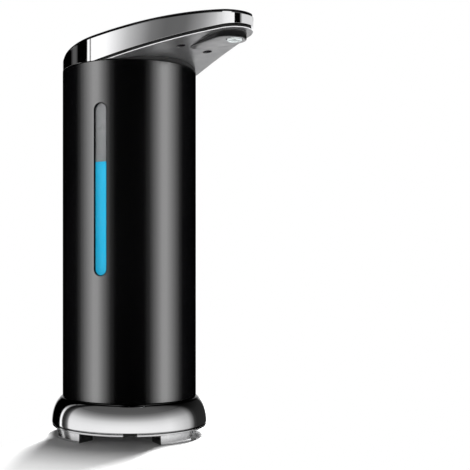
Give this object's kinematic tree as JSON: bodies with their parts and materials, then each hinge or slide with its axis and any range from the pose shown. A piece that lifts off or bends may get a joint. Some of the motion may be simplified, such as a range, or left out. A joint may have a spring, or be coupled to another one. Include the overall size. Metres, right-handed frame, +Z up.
{
  "type": "automatic soap dispenser",
  "caption": "Touchless pump dispenser for liquid soap: upright round tank body with a level window, flared base ring and a leaf-shaped head whose spout reaches over the hand.",
  "frame": {"origin": "centre of the bounding box in plan, on the surface that the feet stand on", "axes": "+Z up; the spout points towards -Y; the level window is on the -X side"},
  "size_m": [0.075, 0.1134, 0.1907],
  "materials": {
    "chrome": "polished chrome plating",
    "gloss_black_tube": "deep gloss black coating on a steel tube",
    "gloss_black": "gloss black moulding",
    "satin_black": "satin black moulding",
    "silver_plastic": "silver grey paint with a soft sheen",
    "cover_grey": "pale grey moulding with a soft sheen",
    "black_plastic": "plain black moulding",
    "white_plastic": "plain white moulding",
    "grey_plastic": "plain grey moulding",
    "clear_plastic": "clear moulding",
    "lens": "clear level window",
    "lens_dark": "dark infrared filter",
    "soap": "blue liquid soap",
    "rubber": "plain black rubber",
    "brass": "plain brass",
    "steel": "plain steel",
    "motor_steel": "plated steel case",
    "cell": "printed sleeve in one plain colour",
    "board": "green solder mask",
    "light": "small red light guide",
    "wire": "insulated wires"
  },
  "bodies": {
    "body": {"band_gasket": "rubber", "base_skirt": "chrome", "battery_housing": "black_plastic", "chrome_band": "chrome", "circuit_board": "board", "delivery_hose": "clear_plastic", "duckbill_valve": "rubber", "emitter_lens": "lens_dark", "head_lower_shell": "silver_plastic", "inlet_strainer": "white_plastic", "inner_tank": "clear_plastic", "ir_emitter": "lens_dark", "ir_receiver": "lens_dark", "minus_dome": "steel", "motor_case": "motor_steel", "neck_collar": "black_plastic", "nozzle": "white_plastic", "outer_sleeve": "gloss_black_tube", "plus_dome": "steel", "pump_housing": "grey_plastic", "pump_idler_pin": "steel", "pump_lid": "grey_plastic", "receiver_lens": "lens_dark", "riser_tube": "clear_plastic", "shell_screw_1": "steel", "shell_screw_2": "steel", "shell_screw_3": "steel", "shell_screw_4": "steel", "soap_fill": "soap", "status_light": "light", "tank_lid": "white_plastic", "top_contact": "brass", "top_panel": "gloss_black", "window_lens": "lens", "wire_conduit": "white_plastic", "wire_loom": "wire"},
    "plus_button": {"plus_button": "satin_black"},
    "minus_button": {"minus_button": "satin_black"},
    "cap_seal": {"cap_seal": "rubber"},
    "filler_cap": {"filler_cap": "gloss_black"},
    "battery_pack": {"battery_holder": "black_plastic", "battery_1": "cell", "battery_2": "cell", "battery_3": "cell", "battery_4": "cell"},
    "bottom_cover": {"bottom_cover": "cover_grey", "cover_seal": "rubber", "cover_contact": "brass"},
    "wheel_set": {"pump_wheel": "white_plastic", "pump_shaft": "steel", "pump_drive_rotor": "white_plastic"},
    "motor_rotor": {"motor_shaft": "steel", "motor_pinion": "brass"},
    "idler_rotor": {"pump_idler_rotor": "white_plastic"}
  },
  "joints": [
    {"name": "plus_press", "type": "slide", "parent": "body", "child": "plus_button", "axis": [0, -0.1087, -0.9941], "range_m": [0, 0.0006], "stiffness_N_per_m": 500, "springref_m": -0.0005},
    {"name": "minus_press", "type": "slide", "parent": "body", "child": "minus_button", "axis": [0, -0.1087, -0.9941], "range_m": [0, 0.0006], "stiffness_N_per_m": 500, "springref_m": -0.0005},
    {"name": "cap_lift", "type": "slide", "parent": "body", "child": "cap_seal", "axis": [0, 0.2125, 0.9772], "range_m": [0, 0.015]},
    {"name": "cap_turn", "type": "hinge", "parent": "cap_seal", "child": "filler_cap", "pos_m": [0, 0.02315, 0.18367], "axis": [0, 0.2125, 0.9772], "range_deg": [0, 90]},
    {"name": "pack_drop", "type": "slide", "parent": "body", "child": "battery_pack", "axis": [0, 0, -1], "range_m": [0, 0.05]},
    {"name": "cover_twist", "type": "hinge", "parent": "battery_pack", "child": "bottom_cover", "pos_m": [0, 0.01915, 0], "axis": [0, 0, 1], "range_deg": [0, 20]},
    {"name": "wheel_turn", "type": "hinge", "parent": "body", "child": "wheel_set", "pos_m": [0, 0.00655, 0.0625], "axis": [0, 0, 1], "continuous": true},
    {"name": "motor_turn", "type": "hinge", "parent": "body", "child": "motor_rotor", "pos_m": [0, 0.01915, 0.056], "axis": [0, 0, 1], "continuous": true},
    {"name": "idler_turn", "type": "hinge", "parent": "body", "child": "idler_rotor", "pos_m": [0, -0.00145, 0.0625], "axis": [0, 0, 1], "continuous": true}
  ],
  "couplings": [
    {"joint": "motor_turn", "follows": "wheel_turn", "ratio": -2},
    {"joint": "idler_turn", "follows": "wheel_turn", "ratio": -1}
  ]
}
